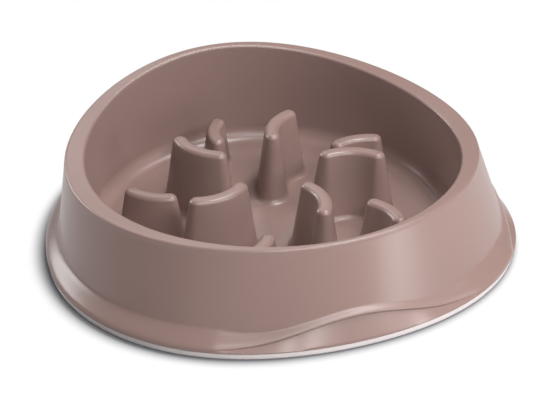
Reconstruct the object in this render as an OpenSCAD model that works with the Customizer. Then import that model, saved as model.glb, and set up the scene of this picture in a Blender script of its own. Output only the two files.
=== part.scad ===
// Slow feeder bowl: one moulded bowl with ten hollow fins, standing on a soft non-slip ring.
// The table is at z = 0, and the back of the bowl, where the rim is highest, is towards +Y.

/* [Mouth and rim] */
// Mean width of the mouth, inside the rim
mouth_w = 220; // [200:1:270]
// How much the mouth is drawn in at the back and front, and let out at the sides
mouth_oval = 1.7; // [0:0.1:4]
// Mean height of the rim above the table
rim_h = 59; // [50:0.5:80]
// How far the rim rises at the back and drops at the front
rim_tilt = 6.7; // [0:0.1:10]
// How far the rim rises at the back and front and drops at the sides
rim_saddle = 5.2; // [0:0.1:8]
// Extra rise of the rim over each of the three base corners
rim_crest = 1.5; // [0:0.1:3]
// Mean width of the flat band on the rim
rim_band = 8.9; // [8.6:0.1:14]
// How much wider that band is at the sides, and narrower at the back and front
band_side = 3.5; // [0:0.1:3.8]
// How much wider that band is at the back, and narrower at the front
band_back = 0.9; // [0:0.1:1.1]
// Rounding of both edges of the band
rim_edge = 1.6; // [0.8:0.1:1.8]

/* [Skirt] */
// How far the base stands out beyond the rim
skirt_spread = 21.4; // [16:0.1:30]
// How far each of the three base corners stands out
base_lobe = 5.3; // [0:0.1:8]
// Thickness of the moulded walls and of the floor
wall = 2.5; // [2:0.1:3]
// How far the foot of the skirt flares out, up to the base edge
flare_w = 7.2; // [6:0.1:9]
// Height of that flare
flare_h = 6.5; // [5:0.5:12]
// Number of waves in the hem, a quarter turn apart, from the front round to the right
wave_count = 3; // [1:1:3]
// Height of each wave
wave_h = 12; // [6:0.5:18]
// How far the hem is drawn in at the top of a wave
wave_in = 5.8; // [2:0.1:6]
// How far the hem stands over the flange at the top of a wave
hem_lap = 1.8; // [0.5:0.1:2.5]

/* [Floor and fins] */
// Height of the floor above the table
floor_h = 6; // [5.5:0.1:12]
// Draft of the inner wall, from the floor to the mouth
mouth_draft = 2.2; // [1:0.1:6]
// Radius where the inner wall meets the floor
floor_round = 9; // [4:0.5:16]
// Number of fins in each of the two rings
fin_count = 5; // [3:1:5]
// Height of the inner fins above the floor
inner_fin_h = 42.5; // [25:0.5:46]
// Height of the outer fins above the floor
outer_fin_h = 28.5; // [18:0.5:36]
// Length of an inner fin along its top
inner_fin_l = 39.5; // [30:0.5:42]
// Length of an outer fin along its top
outer_fin_l = 32; // [24:0.5:34]
// Thickness of a fin at its top
fin_t = 8.2; // [7.5:0.1:10]

/* [Non-slip ring] */
// Height of the ring that shows under the skirt
foot_h = 3.6; // [2.5:0.1:5]
// Thickness of the tongue that holds the ring in its groove
tongue_t = 3; // [2:0.1:3.6]
// Height of that tongue
tongue_h = 3; // [2:0.1:4]
// Gap between the tongue and each side of its groove
tongue_gap = 0.1; // [0.05:0.01:0.3]
// Width of the skirt's lip on each side of the groove
lip_w = 2; // [1.6:0.1:2.4]

/* [Hidden] */
bowl_colour = "#A58A84";
ring_colour = "#E4DCDA";

// The base has three corners, one of them at the back, and a flatter side opposite each
corners = 3;
back = 90;
// Stations round the bowl
steps = 72;
angles = [for (i = [0:steps - 1]) 360 * i / steps];
// The base reaches one lobe further at the back than at the front, so this centres its box
axis_y = -base_lobe;

// Rounding of the skirt's lower edge, and how far the ring is set in under it
edge_round = 0.8;
// Least height of the hem above the base edge, and least step under it
hem_min = 1.4;
lap_min = 0.2;
// Height of the hem's rolled edge
hem_roll = 0.7;
// Middle of the first wave of the hem, and the turn from one wave to the next
wave_first = -90;
wave_turn = 90;
// Half the angle that a wave takes up, and how sharply it rises and is drawn in
wave_half = 35.4;
rise_power = 2.5;
draw_power = 2;

// The groove for the tongue, with the room above it, lies inside the flare
tongue_room = 0.3;
groove_h = tongue_h + tongue_room;
groove_out = flare_w;
groove_in = groove_out + tongue_t + 2 * tongue_gap;
lip_in = groove_in + lip_w;
lip_top = foot_h + groove_h + wall;

// The inner wall starts from this radius, at this height
floor_r = mouth_w / 2 - mouth_draft;
wall_foot = floor_h + floor_round;
// Least width of the hollow between the inner wall and the skirt
hollow_min = 1.2;

// Facets in the roundings, and where the stations in between them lie
round_steps = 4;
edge_steps = 3;
skirt_shares = [0.33, 0.67];
flare_shares = [1, 0.8, 0.6, 0.45, 0.3, 0.15];
inside_shares = [0, 0.06, 0.14, 0.28, 0.55, 1];

// Places of the inner fins: distance of the middle from the axis, its angle, and the turn off the spoke
inner_fin_r = 47.7;
inner_fin_angle = -11.7;
inner_fin_turn = -11.6;
// The outer fins keep their distance from the foot of the inner wall
outer_fin_in = 35.1;
outer_fin_r = floor_r - outer_fin_in;
outer_fin_angle = 23.1;
outer_fin_turn = -25.9;
// Radius of the arc that each fin follows
fin_arc_r = 29;
// Draft of the long faces and of the ends, in degrees
side_draft = 7.2;
end_draft = 9.4;
// Rounding of a fin's top, of its upright corners and of its foot
fin_top_round = 2.5;
fin_corner = 3.9;
fin_foot_round = 3;
fin_corner_min = 0.3;
// Facets of a fin's roundings, and the points along its long faces
corner_steps = 3;
fin_foot_steps = 2;
face_shares = [0.25, 0.5, 0.75];
// Slices of the hollow in a fin, the facets of its ends, and the thickness of a slice's discs
hollow_slices = 3;
hollow_fn = 16;
disc_h = 0.5;
cut_over = 0.5;

function mix(p, q, share) = p + (q - p) * share;
function ease(t) = let (c = max(0, min(1, t))) c * c * (3 - 2 * c);
function at(a, r, z) = [r * cos(a), r * sin(a) + axis_y, z];

// A wave round the bowl with n peaks, one of them at the back
function wave(a, n) = cos(n * (a - back));

// Angle from one direction to another, from 0 to 180
function angle_between(a, b) = abs(a - b - 360 * round((a - b) / 360));

// 1 at the top of each wave of the hem, and 0 between the waves
function swell(a) = max([for (k = [0:wave_count - 1])
    let (off = angle_between(a, wave_first + wave_turn * k) / wave_half) off < 1 ? cos(90 * off) : 0]);
function rise(a) = pow(swell(a), rise_power);
function draw_in(a) = 1 - pow(1 - swell(a), draw_power);

function rim_z(a) = rim_h + rim_tilt * wave(a, 1) + rim_saddle * wave(a, 2) + rim_crest * wave(a, corners);
function mouth_r(a) = mouth_w / 2 - mouth_oval * wave(a, 2);
function band(a) = rim_band + band_back * wave(a, 1) - band_side * wave(a, 2);
function rim_r(a) = mouth_r(a) + band(a);
function base_r(a) = mouth_w / 2 + rim_band + skirt_spread + base_lobe * wave(a, corners);
function hem_z(a) = foot_h + edge_round + hem_min + wave_h * rise(a);
function hem_r(a) = base_r(a) - wave_in * draw_in(a);
function crease_r(a) = hem_r(a) - lap_min - hem_lap * draw_in(a);
// Radius where the skirt's straight taper would end at the hem
function taper_r(a) = base_r(a) - flare_w;

// Radius of the skirt above its hem: the straight taper, and the flare that leads from it to the hem
function skirt_r(a, z) = let (up = z - hem_z(a), share = up / (rim_z(a) - rim_edge - hem_z(a)))
    mix(taper_r(a), rim_r(a), share) + (hem_r(a) - taper_r(a)) * (1 - ease(up / flare_h));

// Radius of the flange below the hem
function flange_r(a, z) = mix(base_r(a), crease_r(a), (z - foot_h) / (hem_z(a) - foot_h));

function outside_r(a, z) = z > hem_z(a) ? skirt_r(a, z) : flange_r(a, z);

// Radius of the inner wall between its foot and the rim
function inner_r(a, z) = mix(floor_r, mouth_r(a), (z - wall_foot) / (rim_z(a) - rim_edge - wall_foot));

// Top of the hollow inside the rim, which starts lower where the band is too narrow for two walls
function spread_rate(a) = (taper_r(a) - rim_r(a)) / (rim_z(a) - rim_edge - hem_z(a))
    + (mouth_r(a) - floor_r) / (rim_z(a) - rim_edge - wall_foot);
function hollow_top(a) = rim_z(a) - wall - rim_edge
    - max(0, 2 * wall + hollow_min - band(a)) / spread_rate(a);

function floor_fillet(a) = [for (i = [0:round_steps]) let (t = 90 * i / round_steps)
    at(a, floor_r - floor_round * (1 - sin(t)), wall_foot - floor_round * cos(t))];

function rim_band_edges(a) = let (upper = rim_z(a) - rim_edge) concat(
    [for (i = [0:edge_steps]) let (t = 90 * i / edge_steps)
        at(a, mouth_r(a) + rim_edge * (1 - cos(t)), upper + rim_edge * sin(t))],
    [for (i = [0:edge_steps]) let (t = 90 * i / edge_steps)
        at(a, rim_r(a) - rim_edge * (1 - sin(t)), upper + rim_edge * cos(t))]
);

function skirt_outside(a) = let (
    taper = [for (s = skirt_shares) mix(rim_z(a) - rim_edge, hem_z(a) + flare_h, s)],
    flare = [for (s = flare_shares) hem_z(a) + flare_h * s]
) [for (z = concat(taper, flare)) at(a, skirt_r(a, z), z)];

// The hem rolls under to its crease, and the flange runs from there to the base edge
function hem_and_flange(a) = let (edge = foot_h + edge_round) [
    at(a, hem_r(a), hem_z(a) + hem_roll / 2),
    at(a, mix(hem_r(a), crease_r(a), 0.5), hem_z(a) - hem_roll / 2),
    at(a, crease_r(a), hem_z(a)),
    at(a, mix(base_r(a), crease_r(a), 0.5), mix(edge, hem_z(a), 0.5)),
    at(a, base_r(a), edge),
    at(a, base_r(a) - edge_round, foot_h)
];

function groove(a) = let (base = base_r(a)) [
    at(a, base - groove_out, foot_h),
    at(a, base - groove_out, foot_h + groove_h),
    at(a, base - groove_in, foot_h + groove_h),
    at(a, base - groove_in, foot_h),
    at(a, base - lip_in, foot_h),
    at(a, base - lip_in, lip_top)
];

function hollow(a) = let (top = hollow_top(a)) concat(
    [for (s = inside_shares) let (z = mix(lip_top, top, s)) at(a, outside_r(a, z) - wall, z)],
    [at(a, inner_r(a, top) + wall, top), at(a, floor_r + wall, wall_foot)]
);

function under_fillet(a) = let (r = floor_round + wall) [for (i = [1:round_steps / 2])
    let (t = 180 * i / round_steps) at(a, floor_r - floor_round + r * cos(t), wall_foot - r * sin(t))];

// One section of the bowl, from its floor over the rim and back under it
function section(a) = concat(
    floor_fillet(a),
    rim_band_edges(a),
    skirt_outside(a),
    hem_and_flange(a),
    groove(a),
    hollow(a),
    under_fillet(a)
);

// A solid through a list of closed rings, flat at both ends
module skin(rings) {
    count = len(rings[0]);
    last = len(rings) - 1;
    points = [for (ring = rings) each ring];
    sides = [for (k = [0:last - 1], i = [0:count - 1]) let (j = (i + 1) % count) each [
        [k * count + i, k * count + j, (k + 1) * count + j],
        [k * count + i, (k + 1) * count + j, (k + 1) * count + i]
    ]];
    first_cap = [for (i = [count - 1:-1:0]) i];
    last_cap = [for (i = [0:count - 1]) last * count + i];
    polyhedron(points, concat([first_cap], sides, [last_cap]), convexity = 8);
}

module shell() {
    sections = [for (a = angles) section(a)];
    skin([for (k = [0:len(sections[0]) - 1]) [for (s = sections) s[k]]]);
}

// A point along the arc that fins follow: s along the arc from its middle, n out of it
function on_arc(s, n) = let (turn = s / fin_arc_r * 180 / PI)
    (fin_arc_r + n) * [sin(turn), cos(turn)];

// A rounded rectangle bent along that arc
function bent_outline(half_l, half_t, corner) = let (
    r = max(fin_corner_min, min(corner, half_t)),
    l = half_l - r,
    t = half_t - r,
    corner_at = [[l, t], [-l, t], [-l, -t], [l, -t]],
    turned = [for (k = [0:3]) [for (i = [0:corner_steps]) let (w = 90 * (k + i / corner_steps))
        corner_at[k] + r * [cos(w), sin(w)]]],
    outer_face = [for (s = face_shares) [mix(l, -l, s), half_t]],
    inner_face = [for (s = face_shares) [mix(-l, l, s), -half_t]],
    faces = [outer_face, [], inner_face, []]
) [for (k = [0:3]) each [for (p = concat(turned[k], faces[k])) on_arc(p[0], p[1])]];

// Ring of a fin at height z, grown by its draft and by the roundings
function fin_ring(h, l, z, grow) = [for (p = bent_outline(
    l / 2 + (h - z) * tan(end_draft) + grow,
    fin_t / 2 + (h - z) * tan(side_draft) + grow,
    fin_corner + (h - z) * tan(side_draft) + grow
)) [p[0], p[1], z]];

// The rings of a fin from its top down to its root, halfway into the floor
function fin_rings(h, l) = concat(
    [for (i = [corner_steps:-1:0]) let (t = 90 * i / corner_steps)
        fin_ring(h, l, h - fin_top_round * (1 - sin(t)), -fin_top_round * (1 - cos(t)))],
    [for (i = [fin_foot_steps:-1:0]) let (t = 90 * i / fin_foot_steps)
        fin_ring(h, l, fin_foot_round * (1 - cos(t)), fin_foot_round * (1 - sin(t)))],
    [fin_ring(h, l, -wall / 2, fin_foot_round)]
);

module fin(h, l) {
    skin(fin_rings(h, l));
}

// The hollow under a fin, a chain of hulls between discs at its foot and at its top
module fin_hollow(h, l) {
    top_r = fin_t / 2 - wall;
    foot_r = top_r + (h + wall) * tan(side_draft);
    top_reach = l / 2 - wall - top_r;
    foot_reach = l / 2 + (h + wall) * tan(end_draft) - wall - foot_r;
    for (k = [0:hollow_slices - 1])
        hull()
            for (s = [k, k + 1]) {
                share = 2 * s / hollow_slices - 1;
                hollow_disc(share * top_reach, top_r, h - wall - disc_h);
                hollow_disc(share * foot_reach, foot_r, -wall - cut_over);
            }
}

module hollow_disc(s, r, z) {
    place = on_arc(s, 0);
    translate([place[0], place[1], z])
        cylinder(h = disc_h, r = r, $fn = hollow_fn);
}

// Turns its children to every place of one ring of fins, with the middle of the chord on the spoke
module round_the_axis(r, first, turn, l) {
    chord_y = fin_arc_r * cos(l / 2 / fin_arc_r * 180 / PI);
    for (k = [0:fin_count - 1])
        translate([0, axis_y, floor_h])
            rotate([0, 0, first + 360 * k / fin_count])
                translate([r, 0, 0])
                    rotate([0, 0, turn])
                        translate([0, -chord_y, 0])
                            children();
}

module inner_fins() {
    round_the_axis(inner_fin_r, inner_fin_angle, inner_fin_turn, inner_fin_l)
        children();
}

module outer_fins() {
    round_the_axis(outer_fin_r, outer_fin_angle, outer_fin_turn, outer_fin_l)
        children();
}

module bowl() {
    color(bowl_colour)
        difference() {
            union() {
                shell();
                inner_fins() fin(inner_fin_h, inner_fin_l);
                outer_fins() fin(outer_fin_h, outer_fin_l);
            }
            inner_fins() fin_hollow(inner_fin_h, inner_fin_l);
            outer_fins() fin_hollow(outer_fin_h, outer_fin_l);
        }
}

// The base outline, set in by a distance
module base_outline(inset) {
    polygon([for (a = angles) let (p = at(a, base_r(a) - inset, 0)) [p[0], p[1]]]);
}

module base_band(outer, inner, height) {
    linear_extrude(height)
        difference() {
            base_outline(outer);
            base_outline(inner);
        }
}

module non_slip_ring() {
    color(ring_colour) {
        base_band(edge_round, lip_in, foot_h);
        translate([0, 0, foot_h])
            base_band(groove_out + tongue_gap, groove_in - tongue_gap, tongue_h);
    }
}

bowl();
non_slip_ring();
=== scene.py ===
"""The looks of the slow feeder bowl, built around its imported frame.

Lengths in the geometry are in millimetres, as in the frame's source, and become metres in the meshes.
The table is at z = 0, and the back of the bowl, where its rim is highest, is towards +Y.
"""

import math

import bmesh
import bpy
import numpy as np
from mathutils import Matrix, Vector
from mathutils.geometry import delaunay_2d_cdt


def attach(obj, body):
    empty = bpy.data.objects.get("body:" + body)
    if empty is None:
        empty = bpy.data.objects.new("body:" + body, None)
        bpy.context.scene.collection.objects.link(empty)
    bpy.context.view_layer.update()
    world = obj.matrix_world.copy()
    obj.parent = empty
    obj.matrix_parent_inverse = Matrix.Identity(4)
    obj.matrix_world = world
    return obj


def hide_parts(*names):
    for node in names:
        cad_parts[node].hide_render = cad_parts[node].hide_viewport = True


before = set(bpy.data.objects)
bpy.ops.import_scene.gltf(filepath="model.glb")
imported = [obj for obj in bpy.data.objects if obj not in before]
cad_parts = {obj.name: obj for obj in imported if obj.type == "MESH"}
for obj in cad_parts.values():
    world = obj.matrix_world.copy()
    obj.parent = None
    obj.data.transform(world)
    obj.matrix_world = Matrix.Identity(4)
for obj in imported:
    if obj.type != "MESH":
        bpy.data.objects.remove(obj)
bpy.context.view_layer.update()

MM = 0.001

# Mouth, and the rim with its flat band
MOUTH_W = 220.0
MOUTH_OVAL = 1.7
RIM_H = 59.0
RIM_TILT = 6.7
RIM_SADDLE = 5.2
RIM_CREST = 1.5
RIM_BAND = 8.9
BAND_SIDE = 3.5
BAND_BACK = 0.9
RIM_EDGE = 1.6

# Base outline: its corners, one of them at the angle of the back, and how far each stands out
CORNERS = 3
BACK = 90.0
SKIRT_SPREAD = 21.4
BASE_LOBE = 5.3

# Skirt, hem and flange; the flare is FLARE_H high between the waves of the hem, and lower over them
WALL = 2.5
FLARE_W = 7.2
FLARE_H = 8.5
WAVE_FLARE_H = 4.2
WAVE_H = 12.0
WAVE_IN = 5.8
HEM_LAP = 1.8
HEM_MIN = 1.4
LAP_MIN = 0.2
HEM_ROLL = 0.9
EDGE_ROUND = 0.8
HOLLOW_MIN = 1.2

# Waves of the hem: middles, half the angle of each, and how sharply it rises and is drawn in
WAVE_MIDS = (-90.0, 0.0, 90.0)
WAVE_HALF = 35.4
RISE_POWER = 2.5
DRAW_POWER = 2.0

# Floor, with a narrow flat ring inside its fillet
FLOOR_H = 6.0
MOUTH_DRAFT = 2.2
FLOOR_ROUND = 9.0
FLOOR_PAD = 1.0

# Fins, with a narrow flat ring round each foot and a chamfer round each hollow
FIN_COUNT = 5
FIN_T = 8.2
FIN_ARC_R = 29.0
FIN_TOP_ROUND = 2.5
FIN_CORNER = 3.9
FIN_CORNER_MIN = 0.3
FIN_FOOT_ROUND = 3.0
FIN_PAD = 0.8
FIN_HOLLOW_CHAMFER = 0.5
OUTER_FIN_IN = 35.1
SIDE_DRAFT = math.radians(7.2)
END_DRAFT = math.radians(9.4)

# Non-slip ring and its groove
FOOT_H = 3.6
TONGUE_T = 3.0
TONGUE_H = 3.0
TONGUE_GAP = 0.1
TONGUE_ROOM = 0.3
LIP_W = 2.0
RING_ROUND = 0.5

# Facets: round the bowl, in each rounding, and round a corner and along a side of a fin's outline
STEPS = 360
FILLET_STEPS = 14
ROUND_STEPS = 10
RIM_EDGE_STEPS = 8
BASE_EDGE_STEPS = 5
RING_STEPS = 4
FIN_CORNER_STEPS = 8
FIN_SIDE_STEPS = 10

# Where the rings of points lie on each face, as shares of it
WALL_SHARES = (0.04, 0.15, 0.35, 0.6, 0.85, 0.97)
BAND_SHARES = (0.1, 0.5, 0.9)
TAPER_SHARES = (0.04, 0.2, 0.4, 0.6, 0.8, 0.95)
FLARE_SHARES = np.linspace(1, 0.06, 20)
FLANGE_SHARES = (0.08, 0.3, 0.6, 0.9)
HOLLOW_SHARES = np.linspace(0, 1, 16)
FIN_FACE_SHARES = (0.1, 0.5, 0.9)
FIN_TOP_SHARES = (0.5, 0.95)
FIN_HOLLOW_SHARES = (0.5, 0.95, 1)

# Making the meshes: points closer than WELD, in metres, become one, and so do points of a flat face that
# are closer than FLAT_WELD. Edges sharper than SHARP are not smoothed. INSIDE_ONLY is the way of filling
# a flat face that makes triangles only inside its outlines.
WELD = 2e-6
FLAT_WELD = 1e-6
SHARP = math.radians(50)
INSIDE_ONLY = 1

# Worked out from the sizes above
AXIS_Y = -BASE_LOBE
FLOOR_R = MOUTH_W / 2 - MOUTH_DRAFT
WALL_FOOT = FLOOR_H + FLOOR_ROUND
GROOVE_H = TONGUE_H + TONGUE_ROOM
GROOVE_OUT = FLARE_W
GROOVE_IN = GROOVE_OUT + TONGUE_T + 2 * TONGUE_GAP
LIP_IN = GROOVE_IN + LIP_W
LIP_TOP = FOOT_H + GROOVE_H + WALL
BASE_EDGE_Z = FOOT_H + EDGE_ROUND

# The two rings of fins: sizes, distance from the axis, angle of the first fin, and turn off its spoke
INNER_FINS = dict(height=42.5, length=39.5, distance=47.7, first=-11.7, turn=-11.6)
OUTER_FINS = dict(height=28.5, length=32.0, distance=FLOOR_R - OUTER_FIN_IN, first=23.1, turn=-25.9)


def mix(p, q, share):
    return p + (q - p) * share


def ease(t):
    """Smooth step from 0 to 1."""
    c = np.clip(t, 0, 1)
    return c * c * (3 - 2 * c)


def wave(n):
    """A wave round the bowl with n peaks, one of them at the back."""
    return np.cos(np.radians(n * (angles - BACK)))


def swell():
    """1 at the top of each wave of the hem, and 0 between the waves."""
    off = [np.abs((angles - mid + 180) % 360 - 180) / WAVE_HALF for mid in WAVE_MIDS]
    return np.maximum(np.cos(np.radians(90 * np.minimum(np.min(off, 0), 1))), 0)


# Sizes that change round the bowl, one value for each angle
angles = np.arange(STEPS) * 360 / STEPS
rim_z = RIM_H + RIM_TILT * wave(1) + RIM_SADDLE * wave(2) + RIM_CREST * wave(CORNERS)
edge_z = rim_z - RIM_EDGE
mouth_r = MOUTH_W / 2 - MOUTH_OVAL * wave(2)
band = RIM_BAND + BAND_BACK * wave(1) - BAND_SIDE * wave(2)
rim_r = mouth_r + band
base_r = MOUTH_W / 2 + RIM_BAND + SKIRT_SPREAD + BASE_LOBE * wave(CORNERS)
rise = swell() ** RISE_POWER
draw_in = 1 - (1 - swell()) ** DRAW_POWER
hem_z = BASE_EDGE_Z + HEM_MIN + WAVE_H * rise
hem_r = base_r - WAVE_IN * draw_in
crease_r = hem_r - LAP_MIN - HEM_LAP * draw_in
taper_r = base_r - FLARE_W
flare_h = mix(FLARE_H, WAVE_FLARE_H, draw_in)


def skirt_r(z):
    """Radius of the skirt above its hem: a straight taper, and the flare that leads from it to the hem."""
    share = (z - hem_z) / (edge_z - hem_z)
    return mix(taper_r, rim_r, share) + (hem_r - taper_r) * (1 - ease((z - hem_z) / flare_h))


def flange_r(z):
    return mix(base_r, crease_r, (z - FOOT_H) / (hem_z - FOOT_H))


def outside_r(z):
    return np.where(z > hem_z, skirt_r(z), flange_r(z))


def inner_r(z):
    """Radius of the inner wall between its foot and the rim."""
    return mix(FLOOR_R, mouth_r, (z - WALL_FOOT) / (edge_z - WALL_FOOT))


def ring(r, z):
    """Closed ring of points round the bowl's axis, from its radius and height at each angle."""
    a = np.radians(angles)
    r, z = np.broadcast_to(r, a.shape), np.broadcast_to(z, a.shape)
    return np.stack([r * np.cos(a), r * np.sin(a) + AXIS_Y, z], 1)


def arc(first, last, steps):
    return [math.radians(mix(first, last, i / steps)) for i in range(steps + 1)]


def floor_fillet():
    """The edge of the flat floor, and the fillet from there up to the inner wall."""
    pad = ring(FLOOR_R - FLOOR_ROUND - FLOOR_PAD, FLOOR_H)
    fillet = [ring(FLOOR_R - FLOOR_ROUND * (1 - math.sin(t)), WALL_FOOT - FLOOR_ROUND * math.cos(t))
              for t in arc(0, 90, FILLET_STEPS)]
    return [pad] + fillet


def inner_wall():
    heights = [mix(WALL_FOOT, edge_z, s) for s in WALL_SHARES]
    return [ring(inner_r(z), z) for z in heights]


def rim_band():
    """The flat band on the rim, with its two rounded edges."""
    inner_edge = [ring(mouth_r + RIM_EDGE * (1 - math.cos(t)), edge_z + RIM_EDGE * math.sin(t))
                  for t in arc(0, 90, RIM_EDGE_STEPS)]
    middle = [ring(mix(mouth_r + RIM_EDGE, rim_r - RIM_EDGE, s), rim_z) for s in BAND_SHARES]
    outer_edge = [ring(rim_r - RIM_EDGE * (1 - math.sin(t)), edge_z + RIM_EDGE * math.cos(t))
                  for t in arc(0, 90, RIM_EDGE_STEPS)]
    return inner_edge + middle + outer_edge


def skirt():
    taper = [mix(edge_z, hem_z + flare_h, s) for s in TAPER_SHARES]
    flare = [hem_z + flare_h * s for s in FLARE_SHARES]
    return [ring(skirt_r(z), z) for z in taper + flare]


def hem():
    """The skirt's lower edge rolls under to the crease."""
    depth = (hem_r - crease_r) / 2
    return [ring(mix(hem_r, crease_r, 0.5) + depth * math.cos(t), hem_z - HEM_ROLL * math.sin(t))
            for t in arc(0, 180, ROUND_STEPS)]


def flange():
    """The face under the crease, and the rounding at its foot."""
    face = [ring(mix(crease_r, base_r, s), mix(hem_z, BASE_EDGE_Z, s)) for s in FLANGE_SHARES]
    rounding = [ring(base_r - EDGE_ROUND * (1 - math.cos(t)), BASE_EDGE_Z - EDGE_ROUND * math.sin(t))
                for t in arc(0, 90, BASE_EDGE_STEPS)]
    return face + rounding


def groove():
    """The groove for the ring's tongue, and the lip on its inner side."""
    corners = [(GROOVE_OUT, FOOT_H), (GROOVE_OUT, FOOT_H + GROOVE_H), (GROOVE_IN, FOOT_H + GROOVE_H),
               (GROOVE_IN, FOOT_H), (LIP_IN, FOOT_H), (LIP_IN, LIP_TOP)]
    return [ring(base_r - inset, z) for inset, z in corners]


def hollow():
    """The space between the skirt and the inner wall, open at the bottom."""
    narrowing = (taper_r - rim_r) / (edge_z - hem_z) + (mouth_r - FLOOR_R) / (edge_z - WALL_FOOT)
    top = edge_z - WALL - np.maximum(0, 2 * WALL + HOLLOW_MIN - band) / narrowing
    heights = [mix(LIP_TOP, top, s) for s in HOLLOW_SHARES]
    outer = [ring(outside_r(z) - WALL, z) for z in heights]
    return outer + [ring(inner_r(top) + WALL, top), ring(FLOOR_R + WALL, WALL_FOOT)]


def under_fillet():
    """The fillet on the underside of the floor; its first ring is the last one of the hollow."""
    r = FLOOR_ROUND + WALL
    return [ring(FLOOR_R - FLOOR_ROUND + r * math.cos(t), WALL_FOOT - r * math.sin(t))
            for t in arc(0, 90, ROUND_STEPS)[1:]]


def on_arc(s, n):
    """A point along the arc that fins follow: s along the arc from its middle, n out of it."""
    turn = s / FIN_ARC_R
    return (FIN_ARC_R + n) * np.sin(turn), (FIN_ARC_R + n) * np.cos(turn)


def bent_outline(half_l, half_t, corner, z):
    """A rounded rectangle bent along that arc, at height z."""
    r = max(FIN_CORNER_MIN, min(corner, half_t))
    l, t = half_l - r, half_t - r
    turned = [np.radians(90 * (k + np.arange(FIN_CORNER_STEPS + 1) / FIN_CORNER_STEPS)) for k in range(4)]
    between = np.arange(1, FIN_SIDE_STEPS) / FIN_SIDE_STEPS
    s = np.concatenate([
        l + r * np.cos(turned[0]), mix(l, -l, between), -l + r * np.cos(turned[1]),
        -l + r * np.cos(turned[2]), mix(-l, l, between), l + r * np.cos(turned[3])])
    n = np.concatenate([
        t + r * np.sin(turned[0]), np.full(len(between), t + r), t + r * np.sin(turned[1]),
        -t + r * np.sin(turned[2]), np.full(len(between), -t - r), -t + r * np.sin(turned[3])])
    x, y = on_arc(s, n)
    return np.stack([x, y, np.full(len(x), z)], 1)


def fin_rings(height, length):
    """Rings of a fin from the floor around its foot up to the middle of its top."""
    def at_height(z, grow):
        out = (height - z) * math.tan(SIDE_DRAFT) + grow
        half_l = length / 2 + (height - z) * math.tan(END_DRAFT) + grow
        return bent_outline(half_l, FIN_T / 2 + out, FIN_CORNER + out, z)

    quarter = arc(0, 90, ROUND_STEPS)
    foot = [at_height(FIN_FOOT_ROUND * (1 - math.cos(t)), FIN_FOOT_ROUND * (1 - math.sin(t)))
            for t in quarter]
    face = [at_height(mix(FIN_FOOT_ROUND, height - FIN_TOP_ROUND, s), 0) for s in FIN_FACE_SHARES]
    top = [at_height(height - FIN_TOP_ROUND * (1 - math.sin(t)), -FIN_TOP_ROUND * (1 - math.cos(t)))
           for t in quarter]
    flat = [at_height(height, -mix(FIN_TOP_ROUND, FIN_T / 2, s)) for s in FIN_TOP_SHARES]
    return [at_height(0, FIN_FOOT_ROUND + FIN_PAD)] + foot + face + top + flat


def hollow_rings(height, length):
    """Rings of the hollow under a fin, from the underside of the floor up to its top."""
    def at_height(z, grow=0.0):
        down = (height - WALL - z) / height * (height + WALL)
        half_t = FIN_T / 2 - WALL + down * math.tan(SIDE_DRAFT)
        half_l = length / 2 - WALL + down * math.tan(END_DRAFT)
        return bent_outline(half_l + grow, half_t + grow, half_t + grow, z)

    chamfer = [at_height(-WALL, FIN_HOLLOW_CHAMFER), at_height(-WALL + FIN_HOLLOW_CHAMFER)]
    return chamfer + [at_height(mix(-WALL, height - WALL, s)) for s in FIN_HOLLOW_SHARES]


def place_fins(fins):
    """Matrices of the fins of one ring, with the middle of each chord on its spoke."""
    chord_y = FIN_ARC_R * math.cos(fins["length"] / 2 / FIN_ARC_R)
    for k in range(FIN_COUNT):
        spoke = Matrix.Rotation(math.radians(fins["first"] + 360 * k / FIN_COUNT), 4, "Z")
        yield (Matrix.Translation((0, AXIS_Y, FLOOR_H)) @ spoke @ Matrix.Translation((fins["distance"], 0, 0))
               @ Matrix.Rotation(math.radians(fins["turn"]), 4, "Z") @ Matrix.Translation((0, -chord_y, 0)))


class Surface:
    """Collects points and faces in millimetres, and welds them into one mesh in metres."""

    def __init__(self):
        self.points = []
        self.faces = []

    def add(self, points, faces):
        start = len(self.points)
        self.points += [tuple(p) for p in points]
        self.faces += [[start + i for i in f] for f in faces]

    def strip(self, rings, closed=False):
        """Quads between neighbouring rings; closed also joins the last ring to the first."""
        n = len(rings[0])
        pairs = [(k, (k + 1) % len(rings)) for k in range(len(rings) if closed else len(rings) - 1)]
        faces = [[p * n + i, p * n + (i + 1) % n, q * n + (i + 1) % n, q * n + i]
                 for p, q in pairs for i in range(n)]
        self.add(np.concatenate(rings), faces)

    def cap(self, loop):
        """Closes a narrow bent outline with quads from one side to the other."""
        n = len(loop)
        quads = [[i, i + 1, n - 2 - i, n - 1 - i] for i in range(n // 2 - 1)]
        self.add(loop, [list(dict.fromkeys(q)) for q in quads])

    def sheet(self, outside, holes, z):
        """A flat face with holes, in triangles."""
        loops = [outside] + holes
        points = [Vector((p[0], p[1])) for loop in loops for p in loop]
        faces = []
        start = 0
        for loop in loops:
            faces.append(list(range(start, start + len(loop))))
            start += len(loop)
        flat, _, made, _, _, inside = delaunay_2d_cdt(points, [], faces, INSIDE_ONLY, FLAT_WELD, True)
        self.add([(p.x, p.y, z) for p in flat], [f for f, ids in zip(made, inside) if list(ids) == [0]])

    def mesh(self, name):
        data = bpy.data.meshes.new(name)
        data.from_pydata([[c * MM for c in p] for p in self.points], [], self.faces)
        bm = bmesh.new()
        bm.from_mesh(data)
        bmesh.ops.remove_doubles(bm, verts=bm.verts, dist=WELD)
        bmesh.ops.recalc_face_normals(bm, faces=bm.faces)
        bm.to_mesh(data)
        bm.free()
        data.shade_smooth()
        data.set_sharp_from_angle(angle=SHARP)
        return data


def moved(points, matrix):
    return [tuple(matrix @ Vector(p)) for p in points]


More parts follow.
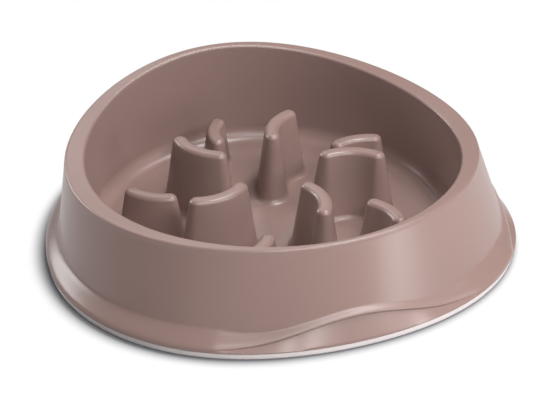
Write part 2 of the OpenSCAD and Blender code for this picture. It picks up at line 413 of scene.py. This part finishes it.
def bowl_mesh():
    """The bowl: one shell from the floor over the rim and round to the underside, and its hollow fins."""
    surface = Surface()
    shell = (floor_fillet() + inner_wall() + rim_band() + skirt() + hem() + flange() + groove() + hollow()
             + under_fillet())
    surface.strip(shell)
    feet = []
    hollows = []
    for fins in (INNER_FINS, OUTER_FINS):
        fin = fin_rings(fins["height"], fins["length"])
        space = hollow_rings(fins["height"], fins["length"])
        for matrix in place_fins(fins):
            for rings, openings in ((fin, feet), (space, hollows)):
                placed = [moved(r, matrix) for r in rings]
                surface.strip(placed)
                surface.cap(placed[-1])
                openings.append(placed[0])
    surface.sheet(shell[0], feet, FLOOR_H)
    surface.sheet(shell[-1], hollows, FLOOR_H - WALL)
    return surface.mesh("bowl_shell")


def ring_mesh():
    """The non-slip ring: its section, from the top of its outer face round to the tongue."""
    tongue_out, tongue_in = GROOVE_OUT + TONGUE_GAP, GROOVE_IN - TONGUE_GAP
    r = RING_ROUND
    quarter = arc(0, 90, RING_STEPS)
    section = ([(EDGE_ROUND + r - r * math.sin(t), FOOT_H - r + r * math.cos(t)) for t in quarter]
               + [(EDGE_ROUND + r - r * math.cos(t), r - r * math.sin(t)) for t in quarter]
               + [(LIP_IN - r + r * math.sin(t), r - r * math.cos(t)) for t in quarter]
               + [(LIP_IN, FOOT_H), (tongue_in, FOOT_H), (tongue_in, FOOT_H + TONGUE_H),
                  (tongue_out, FOOT_H + TONGUE_H), (tongue_out, FOOT_H)])
    surface = Surface()
    surface.strip([ring(base_r - inset, z) for inset, z in section], closed=True)
    return surface.mesh("non_slip_foot")


def plain(name, colour, roughness):
    mat = bpy.data.materials.new(name)
    mat.use_nodes = True
    shader = mat.node_tree.nodes["Principled BSDF"]
    shader.inputs["Base Color"].default_value = (*colour, 1)
    shader.inputs["Roughness"].default_value = roughness
    return mat


def noise(tree, scale, detail):
    """Noise over the piece, with features 1 / scale metres wide."""
    place = tree.nodes.new("ShaderNodeTexCoord")
    made = tree.nodes.new("ShaderNodeTexNoise")
    made.inputs["Scale"].default_value = scale
    made.inputs["Detail"].default_value = detail
    tree.links.new(place.outputs["Object"], made.inputs["Vector"])
    return made.outputs["Fac"]


def spread(tree, value, middle, swing):
    """Turns a noise into a value that swings smoothly about its middle."""
    made = tree.nodes.new("ShaderNodeMath")
    made.operation = "MULTIPLY_ADD"
    made.inputs[1].default_value = 2 * swing
    made.inputs[2].default_value = middle - swing
    tree.links.new(value, made.inputs[0])
    return made.outputs[0]


def combine(tree, operation, first, second):
    """The result of a math operation on two values."""
    made = tree.nodes.new("ShaderNodeMath")
    made.operation = operation
    tree.links.new(first, made.inputs[0])
    tree.links.new(second, made.inputs[1])
    return made.outputs[0]


def blend(tree, value, first, second):
    """A colour that goes from the first to the second as the value goes from 0 to 1."""
    made = tree.nodes.new("ShaderNodeValToRGB")
    for end, colour in zip(made.color_ramp.elements, (first, second)):
        end.color = (*colour, 1)
    tree.links.new(value, made.inputs["Fac"])
    return made.outputs["Color"]


def moulded(name, colour, vary, roughness, swing, cloud_scale, gloss_scale, grain_scale, grain_depth):
    """Moulded material: faint clouds of pigment, a gloss that varies, and the mould's fine grain."""
    mat = plain(name, colour, roughness)
    tree = mat.node_tree
    shader = tree.nodes["Principled BSDF"]
    darker, lighter = ([c * share for c in colour] for share in (1 - vary, 1 + vary))
    clouds = blend(tree, noise(tree, cloud_scale, detail=3), darker, lighter)
    gloss = spread(tree, noise(tree, gloss_scale, detail=5), roughness, swing)
    bump = tree.nodes.new("ShaderNodeBump")
    bump.inputs["Strength"].default_value = 1
    bump.inputs["Distance"].default_value = grain_depth
    tree.links.new(noise(tree, grain_scale, detail=2), bump.inputs["Height"])
    tree.links.new(clouds, shader.inputs["Base Color"])
    tree.links.new(gloss, shader.inputs["Roughness"])
    tree.links.new(bump.outputs["Normal"], shader.inputs["Normal"])
    return mat


def add_piece(data, material, node):
    """Puts a piece in the scene, fixed to the root, in place of the frame's node."""
    piece = bpy.data.objects.new(data.name, data)
    bpy.context.scene.collection.objects.link(piece)
    data.materials.append(material)
    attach(piece, "root")
    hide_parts(node)


bowl_plastic = moulded(
    "bowl_plastic", colour=(0.24, 0.158, 0.141), vary=0.06, roughness=0.315, swing=0.05,
    cloud_scale=14, gloss_scale=42, grain_scale=900, grain_depth=5e-6)
ring_rubber = moulded(
    "ring_rubber", colour=(0.7, 0.64, 0.63), vary=0.06, roughness=0.58, swing=0.1,
    cloud_scale=40, gloss_scale=120, grain_scale=1600, grain_depth=2e-5)
add_piece(bowl_mesh(), bowl_plastic, "bowl")
add_piece(ring_mesh(), ring_rubber, "non_slip_ring")


# Camera, fitted to the photo: it looks along a line turned by TURN from the bowl's own front to back,
# and down by ELEVATION. PIXEL is the size of a pixel of the photo at the aim, and FOCAL is in pixels.
# The point of the bowl's axis at the height AIM_Z is seen AIM_RIGHT and AIM_UP off the photo's middle.
TURN = math.radians(21.8)
ELEVATION = math.radians(30.41)
PHOTO_W = 550
PIXEL = 0.5932
FOCAL = 2348
SENSOR = 36
DISTANCE = FOCAL * PIXEL
AIM_Z = 47.5
AIM_RIGHT = -1.6 * PIXEL
AIM_UP = 43.6 * PIXEL

# Floor: a painted shadow in dark slate, in a patch close to the base that is shifted to the left and to the
# front, and pale further off. From WHITE_FROM of the way across that patch it starts to be seen as white.
FLOOR_REACH = 30000.0
# Width of the painted shadow band round the base
PAINTED_SHADOW_W = 8.0
# How far the painted shadow is shifted to the left and to the front
PAINTED_SHADOW_SHIFT = 4.0
# Dark slate colour of the painted shadow
PAINTED_SHADOW_COLOUR = (0.06, 0.065, 0.08)
FAR_COLOUR = (0.8, 0.8, 0.8)
FLOOR_ROUGHNESS = 0.9
WHITE_FROM = 0.15

# Lamps, in metres, degrees and watts, aimed at a place over the table: azimuth 0 is at the camera's
# side and 90 to its right
FILL = 0.02
LAMP_DISTANCE = 1.2
LAMP_AIM = Vector((0, 0, 0.03))
LAMPS = (
    dict(name="key", azimuth=100, elevation=72, size=(0.2, 0.2), power=7),
    dict(name="back", azimuth=134, elevation=62, size=(0.2, 0.2), power=3.8),
    dict(name="front_high", azimuth=16, elevation=58, size=(0.25, 0.25), power=3),
    dict(name="front", azimuth=26, elevation=37, size=(0.9, 0.15), power=6.8),
    dict(name="right", azimuth=64, elevation=38, size=(0.6, 0.14), power=5),
    dict(name="right_low", azimuth=64, elevation=8, size=(0.3, 0.4), power=3),
    dict(name="left", azimuth=-122, elevation=22, size=(0.6, 0.4), power=7),
    dict(name="left_back", azimuth=-168, elevation=42, size=(0.6, 0.4), power=1.8),
)

# The camera's right, and its view flattened onto the table
right = Vector((math.cos(TURN), -math.sin(TURN), 0))
ahead = Vector((math.sin(TURN), math.cos(TURN), 0))


def add_camera():
    """Camera at DISTANCE from the place that it is aimed at, with no roll."""
    forward = ahead * math.cos(ELEVATION) - Vector((0, 0, math.sin(ELEVATION)))
    up = ahead * math.sin(ELEVATION) + Vector((0, 0, math.cos(ELEVATION)))
    aim = Vector((0, AXIS_Y, AIM_Z)) - right * AIM_RIGHT - up * AIM_UP
    data = bpy.data.cameras.new("camera")
    data.sensor_width = SENSOR
    data.lens = SENSOR * FOCAL / PHOTO_W
    camera = bpy.data.objects.new("camera", data)
    camera.matrix_world = Matrix((right, up, -forward)).transposed().to_4x4()
    camera.location = (aim - forward * DISTANCE) * MM
    bpy.context.scene.collection.objects.link(camera)
    bpy.context.scene.camera = camera


def floor_mesh():
    """A disc under the base, the band of the painted shadow patch and the rest; "away" grows from 0 to 1 over
    the band.
    """
    shift = np.array(-(right + ahead)) * PAINTED_SHADOW_SHIFT
    rings = [ring(base_r - WALL, 0), ring(base_r + PAINTED_SHADOW_W, 0) + shift, ring(FLOOR_REACH, 0)]
    faces = [list(range(STEPS))]
    for inner, outer in ((0, STEPS), (STEPS, 2 * STEPS)):
        for i in range(STEPS):
            after = (i + 1) % STEPS
            faces.append([outer + i, outer + after, inner + after, inner + i])
    data = bpy.data.meshes.new("floor")
    data.from_pydata((np.concatenate(rings) * MM).tolist(), [], faces)
    away = data.attributes.new("away", "FLOAT", "POINT")
    away.data.foreach_set("value", [float(i >= STEPS) for i in range(len(data.vertices))])
    return data


def seen_directly(tree):
    """1 for camera, glossy and transmission rays, and 0 for the others."""
    path = tree.nodes.new("ShaderNodeLightPath")
    seen = combine(tree, "MAXIMUM", path.outputs["Is Camera Ray"], path.outputs["Is Glossy Ray"])
    return combine(tree, "MAXIMUM", seen, path.outputs["Is Transmission Ray"])


def floor_material():
    """Painted shadow in dark slate that fades to pale with "away"; the pale part is plain white to the rays
    that see it directly.
    """
    mat = plain("floor", FAR_COLOUR, FLOOR_ROUGHNESS)
    tree = mat.node_tree
    shader = tree.nodes["Principled BSDF"]
    place = tree.nodes.new("ShaderNodeAttribute")
    place.attribute_name = "away"
    soft = tree.nodes.new("ShaderNodeMapRange")
    soft.interpolation_type = "SMOOTHSTEP"
    soft.inputs["From Min"].default_value = WHITE_FROM
    white = tree.nodes.new("ShaderNodeEmission")
    both = tree.nodes.new("ShaderNodeMixShader")
    links = tree.links
    # Painted shadow: dark slate close to the base, blending to the pale floor further off
    links.new(blend(tree, place.outputs["Fac"], PAINTED_SHADOW_COLOUR, FAR_COLOUR), shader.inputs["Base Color"])
    links.new(place.outputs["Fac"], soft.inputs["Value"])
    links.new(combine(tree, "MULTIPLY", soft.outputs["Result"], seen_directly(tree)), both.inputs["Fac"])
    links.new(shader.outputs["BSDF"], both.inputs[1])
    links.new(white.outputs["Emission"], both.inputs[2])
    links.new(both.outputs["Shader"], tree.nodes["Material Output"].inputs["Surface"])
    return mat


def add_floor():
    """The floor takes the bowl's shadow, carries a painted shadow round the base, and is no part of the
    object.
    """
    data = floor_mesh()
    data.materials.append(floor_material())
    floor = bpy.data.objects.new("floor", data)
    bpy.context.scene.collection.objects.link(floor)


def add_world():
    """Faint plain light from all sides."""
    world = bpy.data.worlds.new("world")
    bpy.context.scene.world = world
    world.use_nodes = True
    background = world.node_tree.nodes["Background"]
    background.inputs["Color"].default_value = (1, 1, 1, 1)
    background.inputs["Strength"].default_value = FILL


def add_lamp(name, azimuth, elevation, size, power):
    """Area lamp that stands in its direction from the bowl and faces it."""
    a, e = math.radians(azimuth), math.radians(elevation)
    towards = (right * math.sin(a) - ahead * math.cos(a)) * math.cos(e) + Vector((0, 0, math.sin(e)))
    data = bpy.data.lights.new(name, "AREA")
    data.shape = "RECTANGLE"
    data.size, data.size_y = size
    data.energy = power
    lamp = bpy.data.objects.new(name, data)
    lamp.location = towards * LAMP_DISTANCE + LAMP_AIM
    lamp.rotation_euler = (-towards).to_track_quat("-Z", "Y").to_euler()
    bpy.context.scene.collection.objects.link(lamp)


add_camera()
add_floor()
add_world()
for lamp in LAMPS:
    add_lamp(**lamp)
bpy.context.scene.view_settings.view_transform = "Standard"
